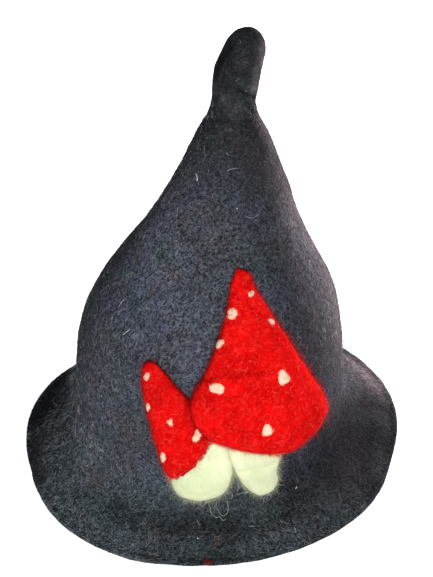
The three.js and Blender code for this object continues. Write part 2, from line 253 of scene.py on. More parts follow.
# Loose hairs that stand off each wool piece, most along the edge that it shows against the felt
EDGE_TURN = 0.2
EDGE_SPREAD = 0.35
TOP_SHARE = 0.08
HAIR_CLEAR = 0.2 * MM
HAIR_COLUMNS = ("name", "on", "tone", "count", "steps", "seed", "length", "radius", "mess", "bend")
HAIR_ROWS = [
    ("large_cap_hairs", "large_cap", "red_fibre", 11000, 3, 41,
     (0.5 * MM, 2.2 * MM), (0.02 * MM, 0.034 * MM), 1.0, 1.2),
    ("small_cap_hairs", "small_cap", "red_fibre", 5500, 3, 42,
     (0.5 * MM, 2.1 * MM), (0.02 * MM, 0.034 * MM), 1.0, 1.2),
    ("large_stem_hairs", "large_stem", "pale_fibre", 4400, 3, 43,
     (0.5 * MM, 2.6 * MM), (0.018 * MM, 0.03 * MM), 0.9, 1.2),
    ("small_stem_hairs", "small_stem", "pale_fibre", 5500, 3, 44,
     (0.5 * MM, 2.7 * MM), (0.018 * MM, 0.03 * MM), 0.9, 1.2),
]
HAIRS = [dict(zip(HAIR_COLUMNS, row)) for row in HAIR_ROWS]
DOT_FIBRES = {
    "count": 260, "steps": 4, "seed": 51, "length": (1.2 * MM, 3.4 * MM), "radius": (0.04 * MM, 0.065 * MM),
    "curl": 1.4, "wave": 0.8, "lift": 0.5 * MM, "tuck": 0.1 * MM,
}

# Single stray fibres of each tone: radius in millimetres, and line of photograph pixels
STRAY_STEPS = 16
STRAY_LIFT = 0.3 * MM
STRAYS = {
    "white_stray": [
        (0.3, [(195.6, 173.3), (197.2, 176.4), (197.7, 178.7), (197.2, 181.4)]),
        (0.2, [(122.7, 335.2), (126, 332.5), (130.5, 329.4)]),
        (0.45, [(197.2, 538), (198.4, 539)]),
        (0.45, [(236.6, 208), (237.5, 209)]),
        (0.4, [(296.6, 486.5), (295.5, 489)]),
    ],
    "grey_stray": [
        (0.2, [(245, 216.6), (249.6, 217.7), (254.2, 217.3), (259.5, 213.1)]),
        (0.18, [(226.6, 171.4), (231.2, 169.1), (238.1, 168)]),
        (0.22, [(226.2, 153.4), (228.2, 155)]),
        (0.18, [(209, 242.6), (211.5, 240), (214, 238)]),
        (0.22, [(248.9, 526.3), (251.5, 526.1), (254.2, 526.7)]),
        (0.2, [(294, 527.4), (295.9, 530.5), (294.8, 532.8)]),
        (0.2, [(197.2, 519.8), (198.2, 522.5), (199.9, 525.1)]),
        (0.18, [(182, 378), (187, 376.5), (192, 373.5)]),
        (0.16, [(175.5, 256.5), (177, 253), (178, 249.5)]),
        (0.18, [(119, 307), (121.5, 303), (124.5, 299)]),
        (0.16, [(138.5, 331), (141, 333.5), (143.5, 337)]),
    ],
    "pale_stray": [
        (0.15, [
            (207.9, 503), (210.6, 507.9), (210.2, 510.6), (212.9, 515.2), (216.7, 517.6), (219.4, 516.6),
            (222.8, 520.5), (226.3, 519.2),
        ]),
        (0.15, [
            (226.7, 498.4), (227.8, 504.5), (227.8, 512.1), (223.6, 516), (219.8, 513.7), (217.5, 509.1),
            (213.7, 507.5), (216.7, 504.5), (216, 501.4),
        ]),
        (0.16, [(199, 502.5), (202, 506.5), (204, 505), (206, 502)]),
        (0.15, [(230, 492), (232.5, 494.5), (231.5, 498), (228.8, 498.6)]),
        (0.14, [(236.6, 494.5), (243.5, 492.6), (248, 492.6)]),
        (0.13, [(237.4, 482.3), (238.2, 487), (237, 491.5)]),
    ],
    "pink_stray": [
        (0.16, [(198.5, 256), (201, 261), (201.5, 267)]),
        (0.11, [(295, 338), (299, 337), (302, 339.5), (300, 342.5), (303.5, 345), (306.5, 344)]),
        (0.1, [(298, 343), (301, 346), (305, 347), (307, 350)]),
        (0.11, [(279, 322), (283.5, 322.5), (285, 326.5), (281, 327.5)]),
        (0.11, [(277, 199), (280, 207), (282, 216)]),
    ],
}

# Fringes of short fibre that hang over the caps' lower edges, along lines of photograph pixels
FRINGE_STEPS = 5
FRINGE_STEP_BACK = 1.5
FRINGE_MESS = 0.8
FRINGES = [
    {"name": "small_cap_fringe", "tone": "red_fibre", "seed": 61, "count": 500,
     "reach": (0.5, 3.5), "radius": (0.03 * MM, 0.06 * MM),
     "line": [
         (168, 478.5), (173, 478), (181, 474), (191, 467), (199, 460), (204, 453), (208.5, 444), (210, 440),
     ]},
    {"name": "large_cap_fringe", "tone": "red_fibre", "seed": 62, "count": 500,
     "reach": (0.5, 3.0), "radius": (0.03 * MM, 0.05 * MM),
     "line": [(211, 441), (226, 446.5), (240, 450.5), (255, 453), (268, 454), (280, 455.5)]},
]

# Small tufts of loose fibre, round photograph pixels
TUFT_FIBRES = {
    "steps": 6, "length": (2.0 * MM, 5.0 * MM), "radius": (0.06 * MM, 0.11 * MM), "curl": 3.0, "wave": 1.6,
    "lift": 0.4 * MM, "tuck": 0.2 * MM,
}
TUFT_SEED = 71
TUFTS = [
    {"name": "red_tuft", "tone": "red_stray", "pixel": (208, 562.5), "reach": 1.5 * MM, "count": 50},
    {"name": "brown_tuft", "tone": "brown_stray", "pixel": (217, 541), "reach": 2.2 * MM, "count": 40},
    {"name": "pink_tuft", "tone": "pink_stray", "pixel": (118, 277), "reach": 0.7 * MM, "count": 8},
    {"name": "grey_tuft", "tone": "grey_stray", "pixel": (169.5, 284), "reach": 1.3 * MM, "count": 16},
    {"name": "left_tuft", "tone": "grey_stray", "pixel": (112, 320), "reach": 0.9 * MM, "count": 9},
]

# Colours, linear
FELT_BLUE = (0.05, 0.055, 0.077)
FELT_GREY = (0.045, 0.049, 0.057)
FELT_BRIM = (0.0255, 0.032, 0.0362)
FELT_FINGER = (0.0165, 0.0195, 0.021)
FELT_PURPLE = (0.054, 0.045, 0.05)
FELT_TEAL = (0.032, 0.048, 0.05)
# Rose of the painted rim light on the felt's right side
FELT_RIM_LIGHT_ROSE = (0.053, 0.0455, 0.0505)
CAP_RED = (0.86, 0.004, 0.004)
# Deeper red of the caps' patches, also painted shade in their hollows
CAP_DEEP_RED = (0.62, 0.0018, 0.0018)
CAP_PINK = (0.9, 0.035, 0.028)
STEM_PALE = (0.725, 0.735, 0.49)
# Darker cream of the stems' patches, also painted shade in their hollows
STEM_SHADE = (0.58, 0.63, 0.38)
DOT_CREAM = (0.97, 0.77, 0.56)
# Darker cream of the dots' patches, also painted shade in their hollows
DOT_SHADE = (0.93, 0.6, 0.42)
DOT_RIM = (0.93, 0.2, 0.13)

# Tones of fibre: the slot that each belongs to, and the two colours that it drifts between
FIBRE_TONES = {
    "pale_felt_fibre": ("dark_felt", (0.22, 0.23, 0.255), (0.34, 0.34, 0.36)),
    "light_felt_fibre": ("dark_felt", (0.105, 0.115, 0.14), (0.16, 0.165, 0.18)),
    "middle_felt_fibre": ("dark_felt", (0.05, 0.056, 0.07), (0.085, 0.085, 0.092)),
    "dark_felt_fibre": ("dark_felt", (0.01, 0.011, 0.013), (0.018, 0.019, 0.021)),
    "red_fibre": ("red_wool", (0.74, 0.006, 0.005), (0.88, 0.022, 0.018)),
    "pink_fibre": ("red_wool", (0.9, 0.07, 0.055), (0.95, 0.2, 0.16)),
    "pale_fibre": ("pale_wool", (0.68, 0.74, 0.5), (0.78, 0.82, 0.6)),
    "dot_fibre": ("dot_wool", (0.93, 0.7, 0.5), (0.97, 0.82, 0.64)),
    "white_stray": ("pale_wool", (0.7, 0.72, 0.74), (0.8, 0.8, 0.8)),
    "grey_stray": ("dark_felt", (0.34, 0.35, 0.38), (0.42, 0.42, 0.44)),
    "pale_stray": ("pale_wool", (0.46, 0.52, 0.46), (0.6, 0.64, 0.56)),
    "red_stray": ("red_wool", (0.34, 0.016, 0.028), (0.5, 0.03, 0.05)),
    "pink_stray": ("red_wool", (0.24, 0.12, 0.12), (0.36, 0.18, 0.17)),
    "brown_stray": ("dark_felt", (0.2, 0.13, 0.1), (0.28, 0.19, 0.15)),
}

# Sockets of the mix node that take and give colours
MIX_COLOURS = (6, 7)
MIX_RESULT = 2

# Surfaces of the materials, by the sockets of their shader
FELT_SURFACE = {
    "Roughness": 0.95, "Specular IOR Level": 0.04,
    "Sheen Weight": 0.02, "Sheen Roughness": 0.45, "Sheen Tint": (0.85, 0.78, 0.84, 1),
}
WOOL_SURFACE = {"Roughness": 0.95, "Specular IOR Level": 0.02}
FIBRE_SURFACE = {"Roughness": 0.8, "Specular IOR Level": 0.04}
FLOOR_SURFACE = {
    "Roughness": 0.95, "Specular IOR Level": 0.02, "Base Color": (0.93, 0.93, 0.93, 1),
    "Emission Color": (1, 1, 1, 1), "Emission Strength": 0.8,
}

# Patterns of the materials: noise by its size, in millimetres or in a wool's own fineness, and its seed
RIDGED = "RIDGED_MULTIFRACTAL"
RIDGE_OFFSET = 1.0
FELT_PATTERNS = {
    "drift": {"size": 40, "seed": 1.0},
    "green": {"size": 24, "seed": 10.0},
    "stain": {"size": 20, "seed": 2.0},
    "clump": {"size": 1.8, "seed": 3.0, "detail": 3.0, "distortion": 0.5},
    "strand": {"size": 3.4, "seed": 4.0, "detail": 1.0, "distortion": 2.0, "kind": RIDGED},
}
WOOL_PATTERNS = {
    "hollow": {"size": 3.4, "seed": 5.0, "detail": 3.0, "distortion": 0.8},
    "swirl": {"size": 5.0, "seed": 6.0, "detail": 4.0, "distortion": 2.2},
    "strand": {"size": 1.8, "seed": 7.0, "distortion": 1.6, "kind": RIDGED},
    "patch": {"size": 13.0, "seed": 9.0, "distortion": 0.6},
}
FIBRE_PATTERN = {"size": 5, "seed": 8.0}

# How strongly each pattern shows: the range of the noise, and where it isn't 0 to 1 what that becomes
FELT_RANGES = {
    "drift": (0.4, 0.6),
    "green": (0.52, 0.72, 0.0, 0.7),
    "stain": (0.55, 0.72, 0.0, 0.7),
    "clump": (0.3, 0.7, 0.5, 1.5),
    "strand": (0.5, 1.3, 0.5, 2.0),
}
WOOL_RANGES = {"hollow": (0.18, 0.52), "swirl": (0.5, 0.7, 0.0, 0.8), "patch": (0.38, 0.6)}
FIBRE_RANGE = (0.35, 0.65)
CLUMP_BUMP = 1.2 * MM
STRAND_BUMP = 0.5 * MM
WOOL_STRAND_PART = 3

# Needle-felted wools: how fine their patterns are, and how deep their bumps
CAP_WOOL = {"fine": 0.85 * MM, "depth": 0.6 * MM}
STEM_WOOL = {"fine": 4.0 * MM, "depth": 0.3 * MM}
DOT_WOOL = {"fine": 1.0 * MM, "depth": 0.5 * MM}

# Studio: each lamp by its bearing from the front, its elevation and its distance from the hat
FLOOR_SIZE = 8.0
WORLD_WHITE = (1.0, 1.0, 1.0)
WORLD_STRENGTH = 0.18
LIGHT_AIM = Vector((0, 0, 0.12))
LIGHTS = [
    {"name": "key_light", "bearing": 2, "elevation": 12, "distance": 1.6, "size": 0.7, "power": 30.0,
     "colour": (0.96, 0.98, 1.0)},
    {"name": "rim_light", "bearing": 138, "elevation": 7, "distance": 1.2, "size": 0.4, "power": 40.0,
     "colour": (1.0, 0.84, 0.88)},
]


# Camera and photograph places

def view_axes():
    """The camera's place and its right, up and backward directions."""
    back = Vector((0, -math.cos(VIEW_ELEVATION), math.sin(VIEW_ELEVATION)))
    turn = (-back).to_track_quat("-Z", "Y").to_matrix() @ Matrix.Rotation(VIEW_ROLL, 3, "Z")
    return VIEW_AIM + back * VIEW_DISTANCE, turn


def make_camera():
    """The camera at the photograph's angle and framing."""
    data = bpy.data.cameras.new("photo_camera")
    data.sensor_width = SENSOR
    data.lens = FOCAL_PIXELS / PHOTO_HEIGHT * SENSOR
    camera = bpy.data.objects.new("photo_camera", data)
    place, turn = view_axes()
    camera.matrix_world = Matrix.Translation(place) @ turn.to_4x4()
    bpy.context.scene.collection.objects.link(camera)
    bpy.context.scene.camera = camera


def photo_point(tree, pixel):
    """The point of a surface that the photograph shows at a pixel, with its normal."""
    place, turn = view_axes()
    across = (pixel[0] - PHOTO_WIDTH / 2) / FOCAL_PIXELS
    up = (PHOTO_HEIGHT / 2 - pixel[1]) / FOCAL_PIXELS
    ray = turn @ Vector((across, up, -1)).normalized()
    point, normal, _, _ = tree.ray_cast(place, ray)
    return point, normal


def photo_line(tree, pixels):
    """The points of a surface that the photograph shows along a line of pixels."""
    found = [photo_point(tree, pixel)[0] for pixel in pixels]
    return [np.array(point) for point in found if point is not None]


# Mesh helpers

def quads_of(node):
    """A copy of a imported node's mesh with its corners welded and its triangles paired."""
    mesh = bpy.data.meshes.new(node + "_quads")
    work = bmesh.new()
    work.from_mesh(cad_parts[node].data)
    bmesh.ops.remove_doubles(work, verts=work.verts, dist=WELD_REACH)
    bmesh.ops.join_triangles(
        work,
        faces=work.faces,
        angle_face_threshold=PAIR_TURN,
        angle_shape_threshold=PAIR_TURN,
    )
    work.to_mesh(mesh)
    work.free()
    return mesh


def with_modifier(mesh, kind, **settings):
    """The mesh that one modifier makes of another mesh."""
    carrier = bpy.data.objects.new("work", mesh)
    bpy.context.scene.collection.objects.link(carrier)
    modifier = carrier.modifiers.new("work", kind)
    for name, value in settings.items():
        setattr(modifier, name, value)
    graph = bpy.context.evaluated_depsgraph_get()
    made = bpy.data.meshes.new_from_object(carrier.evaluated_get(graph))
    bpy.data.objects.remove(carrier)
    bpy.data.meshes.remove(mesh)
    return made


def places_of(mesh):
    """The vertices of a mesh and their normals, as arrays."""
    points = np.empty(len(mesh.vertices) * 3)
    normals = np.empty(len(mesh.vertices) * 3)
    mesh.vertices.foreach_get("co", points)
    mesh.vertex_normals.foreach_get("vector", normals)
    return points.reshape(-1, 3), normals.reshape(-1, 3)


def move_to(mesh, points):
    """Puts a mesh's vertices at new places."""
    mesh.vertices.foreach_set("co", points.ravel())
    mesh.update()


def tree_of(*meshes):
    """One search tree of the faces of one or more meshes."""
    work = bmesh.new()
    for mesh in meshes:
        work.from_mesh(mesh)
    tree = BVHTree.FromBMesh(work)
    work.free()
    return tree


def mesh_from_arrays(name, points, triangles):
    """A smooth-shaded mesh from arrays of points and triangles."""
    mesh = bpy.data.meshes.new(name)
    mesh.vertices.add(len(points))
    mesh.vertices.foreach_set("co", points.astype(np.float32).ravel())
    mesh.loops.add(triangles.size)
    mesh.loops.foreach_set("vertex_index", triangles.astype(np.int32).ravel())
    mesh.polygons.add(len(triangles))
    mesh.polygons.foreach_set("loop_start", np.arange(0, triangles.size, 3, dtype=np.int32))
    mesh.update(calc_edges=True)
    mesh.shade_smooth()
    return mesh


def add_piece(name, mesh, material, slot, *nodes):
    """Shows a mesh as a piece of the hat, in place of the named nodes."""
    piece = bpy.data.objects.new(name, mesh)
    bpy.context.scene.collection.objects.link(piece)
    mesh.materials.clear()
    mesh.materials.append(material)
    mesh.shade_smooth()
    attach(piece, BODY)
    if nodes:
        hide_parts(*nodes)
    return piece


# Shaping

def roughen(mesh, lumps, seed, swell=0.0):
    """Moves a surface out along its normals by a swelling and by several sizes of lump."""
    points, normals = places_of(mesh)
    shift = np.full(len(points), swell)
    for number, (size, depth) in enumerate(lumps):
        offset = Vector((seed, SIZE_SHIFT * number, SEED_SHIFT * seed))
        waves = [noise.noise(Vector(point) / size + offset) for point in points]
        shift += depth * np.array(waves)
    move_to(mesh, points + normals * shift[:, None])


def distance_to_line(points, line):
    """The distance of each point from a line through several corners."""
    best = np.full(len(points), np.inf)
    for start, end in zip(line[:-1], line[1:]):
        run = end - start
        share = np.clip((points - start) @ run / (run @ run), 0, 1)
        best = np.minimum(best, np.linalg.norm(points - start - share[:, None] * run, axis=1))
    return best


def press_creases(mesh, node):
    """Presses a node's creases in along their lines."""
    for width, depth, pixels in CREASES.get(node, []):
        line = photo_line(tree_of(mesh), pixels)
        points, normals = places_of(mesh)
        near = distance_to_line(points, line) / (width * MM)
        move_to(mesh, points - normals * (depth * MM * np.exp(-near ** 2))[:, None])


def write_value(mesh, name, values):
    """Keeps a value at each vertex of a mesh."""
    layer = mesh.attributes.new(name, "FLOAT", "POINT")
    layer.data.foreach_set("value", values.astype(np.float32))


def paint_light_and_shade(mesh, node, tree):
    """Writes the painted light and shade of a mesh on a node's surface: how much darker or paler at each
    vertex.
    """
    points, _ = places_of(mesh)
    painted_light = np.ones(len(points))
    for width, fall, amount, pixels in PAINTED_LIGHT_AND_SHADE.get(node, []):
        near = distance_to_line(points, photo_line(tree, pixels)) / (width * MM)
        painted_light *= 1 + amount * np.exp(-near ** fall)
    write_value(mesh, "painted_light", painted_light)


def paint_rim_light(mesh, tree):
    """Writes how much painted rose rim light the felt has at each vertex."""
    points, _ = places_of(mesh)
    rim_light_rose = np.zeros(len(points))
    for width, share, pixels in RIM_LIGHT_ROSES:
        near = distance_to_line(points, photo_line(tree, pixels)) / (width * MM)
        rim_light_rose = np.maximum(rim_light_rose, share * np.exp(-near ** 2))
    write_value(mesh, "rim_light_rose", rim_light_rose)


def keep_above_floor(mesh):
    """Lifts what lies under the floor back to it."""
    points, _ = places_of(mesh)
    points[:, 2] = np.maximum(points[:, 2], 0)
    move_to(mesh, points)


def felt_mesh():
    """The felt hat, smooth and then lumpy, with the creases of its finger."""
    mesh = with_modifier(quads_of("hat_body"), "SUBSURF", levels=FELT_LEVELS)
    press_creases(mesh, "hat_body")
    roughen(mesh, FELT_LUMPS, FELT_SEED)
    keep_above_floor(mesh)
    paint_light_and_shade(mesh, "hat_body", tree_of(mesh))
    paint_rim_light(mesh, tree_of(mesh))
    return mesh


def wool_mesh(node, lumps, seed):
    """A needle-felted form: the node's solid with soft edges, lumpy and creased."""
    even = with_modifier(quads_of(node), "REMESH", mode="VOXEL", voxel_size=WOOL_VOXEL[node])
    mesh = with_modifier(even, "SMOOTH", **WOOL_SMOOTHING)
    press_creases(mesh, node)
    roughen(mesh, lumps, seed, WOOL_SWELL)
    paint_light_and_shade(mesh, node, tree_of(mesh))
    return mesh


# Dots

def dot_outline(row, angle):
    """How far a dot reaches at an angle round its middle, counted from its turn."""
    bearing = angle - math.radians(row["turn"])
    oval = 1 + row["stretch"] * np.cos(2 * bearing)
    corners = 1 + row["corner_depth"] * np.cos(row["corners"] * bearing)
    rags = 1 + DOT_RAGS["depth"] * np.cos(DOT_RAGS["waves"] * angle + row["turn"])
    return row["radius"] * oval * corners * rags


def dot_mesh(row, carrier):
    """An irregular tuft of wool felted into a cap where the node's plain dot is."""
    low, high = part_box(row["node"])
    middle, normal, _, _ = carrier.find_nearest((low + high) / 2)
    across = Vector((0, 0, 1)).cross(normal).normalized()
    upward = normal.cross(across)
    angles = np.linspace(0, 2 * math.pi, DOT_SIDES, endpoint=False)
    reach = dot_outline(row, angles)
    points = [middle + normal * row["height"]]
    for ring in range(1, DOT_RINGS + 1):
        share = ring / DOT_RINGS
        rise = row["height"] * (1 - share ** DOT_DOME_FALL) - DOT_TUCK * share ** DOT_TUCK_FALL
        for angle, length in zip(angles, reach):
            flat = across * (math.cos(angle) * length) + upward * (math.sin(angle) * length)
            seat, _, _, _ = carrier.find_nearest(middle + flat * share)
            points.append(seat + normal * rise)
    points.append(middle - normal * DOT_FOOT)
    mesh = mesh_from_arrays(row["node"] + "_tuft", np.array(points), fan_and_rings(DOT_SIDES, DOT_RINGS))
    roughen(mesh, DOT_LUMPS, row["turn"] * DOT_SEED_STEP + low.x / MM)
    shares = np.repeat(np.arange(1, DOT_RINGS + 1) / DOT_RINGS, DOT_SIDES)
    write_value(mesh, "rim", np.concatenate([[0], shares ** DOT_RIM_FALL, [1]]))
    return mesh


def fan_and_rings(sides, rings):
    """The triangles of a closed dome: a fan at its top, rings, and a fan under it."""
    here = np.arange(sides)
    following = (here + 1) % sides
    bottom = 1 + sides * rings
    faces = [np.stack([np.zeros(sides, int), 1 + here, 1 + following], axis=1)]
    for ring in range(rings - 1):
        inner = 1 + ring * sides
        outer = inner + sides
        faces.append(np.stack([inner + here, outer + here, outer + following], axis=1))
        faces.append(np.stack([inner + here, outer + following, inner + following], axis=1))
    last = bottom - sides
    faces.append(np.stack([last + here, np.full(sides, bottom), last + following], axis=1))
    return np.concatenate(faces)


# Fibres

def scatter(mesh, count, rng, share=None):
    """Random points on a mesh with their normals, spread by area times a share for each triangle."""
    mesh.calc_loop_triangles()
    corners = np.empty(len(mesh.loop_triangles) * 3, dtype=np.int32)
    mesh.loop_triangles.foreach_get("vertices", corners)
    points, _ = places_of(mesh)
    triangles = points[corners.reshape(-1, 3)]
    facing = np.cross(triangles[:, 1] - triangles[:, 0], triangles[:, 2] - triangles[:, 0])
    weight = np.linalg.norm(facing, axis=1)
    facing = facing / np.maximum(weight, SMALLEST_AREA)[:, None]
    if share is not None:
        weight = weight * share(triangles.mean(axis=1), facing)
    picks = rng.choice(len(weight), count, p=weight / weight.sum())
    a = np.sqrt(rng.random(count))
    b = rng.random(count)
    weights = np.stack([1 - a, a * (1 - b), a * b], axis=1)
    return np.einsum("nk,nkd->nd", weights, triangles[picks]), facing[picks]


def unit(vectors):
    """Vectors of length one."""
    return vectors / np.maximum(np.linalg.norm(vectors, axis=-1, keepdims=True), SMALLEST_LENGTH)


def as_arrays(found, shape):
    """Places found on a surface, and the surface's normals there, as two arrays of a shape."""
    places = np.array([tuple(place) for place, _ in found])
    normals = np.array([tuple(normal) for _, normal in found])
    return places.reshape(shape), normals.reshape(shape)


def snap(tree, points):
    """The nearest places of a surface to an array of points, with the surface's normals."""
    found = [tree.find_nearest(Vector(point))[:2] for point in points.reshape(-1, 3)]
    return as_arrays(found, points.shape)


def curly_paths(tree, starts, normals, kind, rng):
    """Paths that curl over a surface, bow out from it and dip into it at both ends."""
    count = len(starts)
    along = np.linspace(0, 1, kind["steps"])
    length = rng.uniform(*kind["length"], count)
    heading = rng.uniform(0, 2 * math.pi, count)
    turn = rng.normal(0, kind["curl"], count)
    wave = rng.normal(0, kind["wave"], count)
    lift = kind["lift"] * rng.random(count)
    across = unit(np.cross(normals, rng.normal(size=(count, 3))))
    beside = np.cross(normals, across)
    angle = heading[:, None] + turn[:, None] * along + wave[:, None] * np.sin(2 * math.pi * along)
    stride = np.cos(angle)[..., None] * across[:, None] + np.sin(angle)[..., None] * beside[:, None]
    stride = stride * (length / (kind["steps"] - 1))[:, None, None]
    paths = np.cumsum(stride, axis=1)
    paths = starts[:, None] + paths - paths.mean(axis=1, keepdims=True)
    places, outward = snap(tree, paths)
    rise = lift[:, None] * np.sin(math.pi * along) - kind["tuck"] * np.cos(math.pi * along) ** END_FALL
    return places + outward * rise[..., None], outward


def thread_mesh(name, paths, outward, radius):
    """Closed three-sided threads along paths, pointed at both ends and kept above the floor."""
    count, steps, _ = paths.shape
    forward = unit(np.gradient(paths, axis=1))
    side = unit(np.cross(forward, outward))
    top = np.cross(side, forward)
    rings = []
    for corner in range(THREAD_SIDES):
        angle = 2 * math.pi * corner / THREAD_SIDES + math.pi / 2
        offset = math.cos(angle) * side + math.sin(angle) * top
        rings.append(paths[:, 1:-1] + offset[:, 1:-1] * radius[:, None, None])
    middle = np.stack(rings, axis=2).reshape(count, -1, 3)
    points = np.concatenate([paths[:, :1], middle, paths[:, -1:]], axis=1)
    faces = thread_faces(steps - 2)
    offsets = np.arange(count)[:, None, None] * points.shape[1]
    points[..., 2] = np.maximum(points[..., 2], 0)
    return mesh_from_arrays(name, points.reshape(-1, 3), (faces + offsets).reshape(-1, 3))


def thread_faces(rings):
    """The triangles of one thread: a point, rings of corners, and a point."""
    faces = []
    end = 1 + THREAD_SIDES * rings
    last = end - THREAD_SIDES
    for corner in range(THREAD_SIDES):
        following = (corner + 1) % THREAD_SIDES
        faces.append([0, 1 + following, 1 + corner])
        for near in range(1, last, THREAD_SIDES):
            far = near + THREAD_SIDES
            faces.append([near + corner, near + following, far + following])
            faces.append([near + corner, far + following, far + corner])
        faces.append([last + corner, last + following, end])
    return np.array(faces)


def fibre_mesh(row, mesh, tree, share=None):
    """Many curly fibres over a surface, as one mesh."""
    rng = np.random.default_rng(row["seed"])
    starts, normals = scatter(mesh, row["count"], rng, share)
    paths, outward = curly_paths(tree, starts, normals, row, rng)
    radius = rng.uniform(*row["radius"], row["count"])
    return thread_mesh(row["name"], paths, outward, radius)


def felt_share(centres, facing):
    """The share of fibres on the felt: most on the brim, fewer on the finger and inside the hat."""
    on_finger = centres[:, 2] > FINGER_RISE[1]
    outside = (facing[:, 2] > UNDERSIDE_TURN) | on_finger
    shown = np.where(centres[:, 2] < BRIM_RISE[1], BRIM_SHARE, 1.0)
    return np.where(on_finger, FINGER_SHARE, np.where(outside, shown, INSIDE_SHARE))


def edge_share(felt_tree):
    """The share of loose hairs on a wool piece, most along the edge that it shows against the felt."""
    def share(centres, facing):
        _, outward = snap(felt_tree, centres)
        side = np.sum(facing * outward, axis=1)
        return np.exp(-((side - EDGE_TURN) / EDGE_SPREAD) ** 2) + TOP_SHARE * (side > 0)
    return share


def hair_paths(felt_tree, starts, normals, kind, rng):
    """Paths of loose hairs that stand off a surface and bend, kept outside the felt."""
    count = len(starts)
    along = np.linspace(0, 1, kind["steps"])[None, :, None]
    length = rng.uniform(*kind["length"], count)[:, None, None]
    lean = unit(normals + kind["mess"] * rng.normal(size=(count, 3)))[:, None]
    bend = kind["bend"] * rng.normal(size=(count, 1, 3))
    paths = starts[:, None] + length * (lean * along + bend * along ** 2)
    places, outward = snap(felt_tree, paths)
    depth = np.sum((paths - places) * outward, axis=2)
    return paths + outward * np.maximum(0, HAIR_CLEAR - depth)[..., None], outward


def hair_mesh(row, mesh, felt_tree):
    """Many loose hairs round a wool piece, as one mesh."""
    rng = np.random.default_rng(row["seed"])
    starts, normals = scatter(mesh, row["count"], rng, edge_share(felt_tree))
    paths, outward = hair_paths(felt_tree, starts, normals, row, rng)
    radius = rng.uniform(*row["radius"], row["count"])
    return thread_mesh(row["name"], paths, outward, radius)


def smooth_line(corners, steps):
    """Points along a smooth curve through several corners."""
    first = 2 * corners[0] - corners[1]
    last = 2 * corners[-1] - corners[-2]
    padded = np.vstack([first, corners, last])
    where = np.linspace(0, len(corners) - 1, steps)
    part = np.minimum(where.astype(int), len(corners) - 2)
    t = (where - part)[:, None]
    a, b, c, d = (padded[part + k] for k in range(4))
    square = 2 * a - 5 * b + 4 * c - d
    cube = 3 * b - a - 3 * c + d
    return 0.5 * (2 * b + (c - a) * t + square * t ** 2 + cube * t ** 3)


def stray_paths(tree, lines, steps):
    """Paths over a surface along lines of photograph pixels, with the surface's normals."""
    curves = [smooth_line(np.array(line, float), steps) for line in lines]
    found = [photo_point(tree, pixel) for curve in curves for pixel in curve]
    places, normals = as_arrays(found, (len(lines), steps, 3))
    return places + normals * STRAY_LIFT, normals


def stray_mesh(tone, tree):
    """All the stray fibres of one tone, as one mesh."""
    radii, lines = zip(*STRAYS[tone])
    paths, outward = stray_paths(tree, lines, STRAY_STEPS)
    return thread_mesh(tone + "s", paths, outward, np.array(radii) * MM)


def fringe_mesh(row, tree):
    """Short fibres that hang from a line of photograph pixels to its right-hand side, as one mesh."""
    rng = np.random.default_rng(row["seed"])
    corners = np.array(row["line"], float)
    along = rng.uniform(0, len(corners) - 1, row["count"])
    part = np.minimum(along.astype(int), len(corners) - 2)
    run = corners[part + 1] - corners[part]
    starts = corners[part] + run * (along - part)[:, None]
    hang = unit(np.stack([-run[:, 1], run[:, 0]], axis=1)) + FRINGE_MESS * rng.normal(size=(row["count"], 2))
    reach = rng.uniform(*row["reach"], (row["count"], 1))
    lines = np.stack([starts - FRINGE_STEP_BACK * hang, starts, starts + reach * hang], axis=1)
    paths, outward = stray_paths(tree, lines, FRINGE_STEPS)
    radius = rng.uniform(*row["radius"], row["count"])
    return thread_mesh(row["name"], paths, outward, radius)


def tuft_mesh(row, tree, seed):
    """A small tuft of loose fibres on a surface, as one mesh."""
    rng = np.random.default_rng(seed)
    middle, _ = photo_point(tree, row["pixel"])
    starts, normals = snap(tree, np.array(middle) + rng.normal(0, row["reach"], (row["count"], 3)))
    paths, outward = curly_paths(tree, starts, normals, TUFT_FIBRES, rng)
    radius = rng.uniform(*TUFT_FIBRES["radius"], row["count"])
    return thread_mesh(row["name"], paths, outward, radius)


# Materials

def start_material(name, surface):
    """A material of a plain surface, with its node tree and its main shader."""
    material = bpy.data.materials.new(name)
    material.use_nodes = True
    shader = material.node_tree.nodes["Principled BSDF"]
    for socket, value in surface.items():
        shader.inputs[socket].default_value = value
    return material, material.node_tree, shader


def object_noise(tree, unit_size, size, seed, detail=2.0, distortion=0.0, kind="FBM"):
    """A noise pattern of a size in some unit, fixed to the object."""
    place = tree.nodes.new("ShaderNodeTexCoord")
    pattern = tree.nodes.new("ShaderNodeTexNoise")
    pattern.noise_dimensions = "4D"
    pattern.noise_type = kind
    pattern.inputs["Scale"].default_value = 1 / (size * unit_size)
    pattern.inputs["W"].default_value = seed
    pattern.inputs["Detail"].default_value = detail
    pattern.inputs["Distortion"].default_value = distortion
    if kind == RIDGED:
        pattern.inputs["Offset"].default_value = RIDGE_OFFSET
    tree.links.new(place.outputs["Object"], pattern.inputs["Vector"])
    return pattern.outputs["Fac"]


def object_height(tree):
    """The height of a place on the object."""
    place = tree.nodes.new("ShaderNodeTexCoord")
    parts = tree.nodes.new("ShaderNodeSeparateXYZ")
    tree.links.new(place.outputs["Object"], parts.inputs["Vector"])
    return parts.outputs["Z"]


def vertex_value(tree, name):
    """A value that the mesh keeps at its vertices."""
    node = tree.nodes.new("ShaderNodeAttribute")
    node.attribute_name = name
    return node.outputs["Fac"]


def spread(tree, value, low, high, to_low=0.0, to_high=1.0):
    """A value taken from one range to another, and kept inside it."""
    node = tree.nodes.new("ShaderNodeMapRange")
    node.inputs["From Min"].default_value = low
    node.inputs["From Max"].default_value = high
    node.inputs["To Min"].default_value = to_low
    node.inputs["To Max"].default_value = to_high
    tree.links.new(value, node.inputs["Value"])
    return node.outputs["Result"]


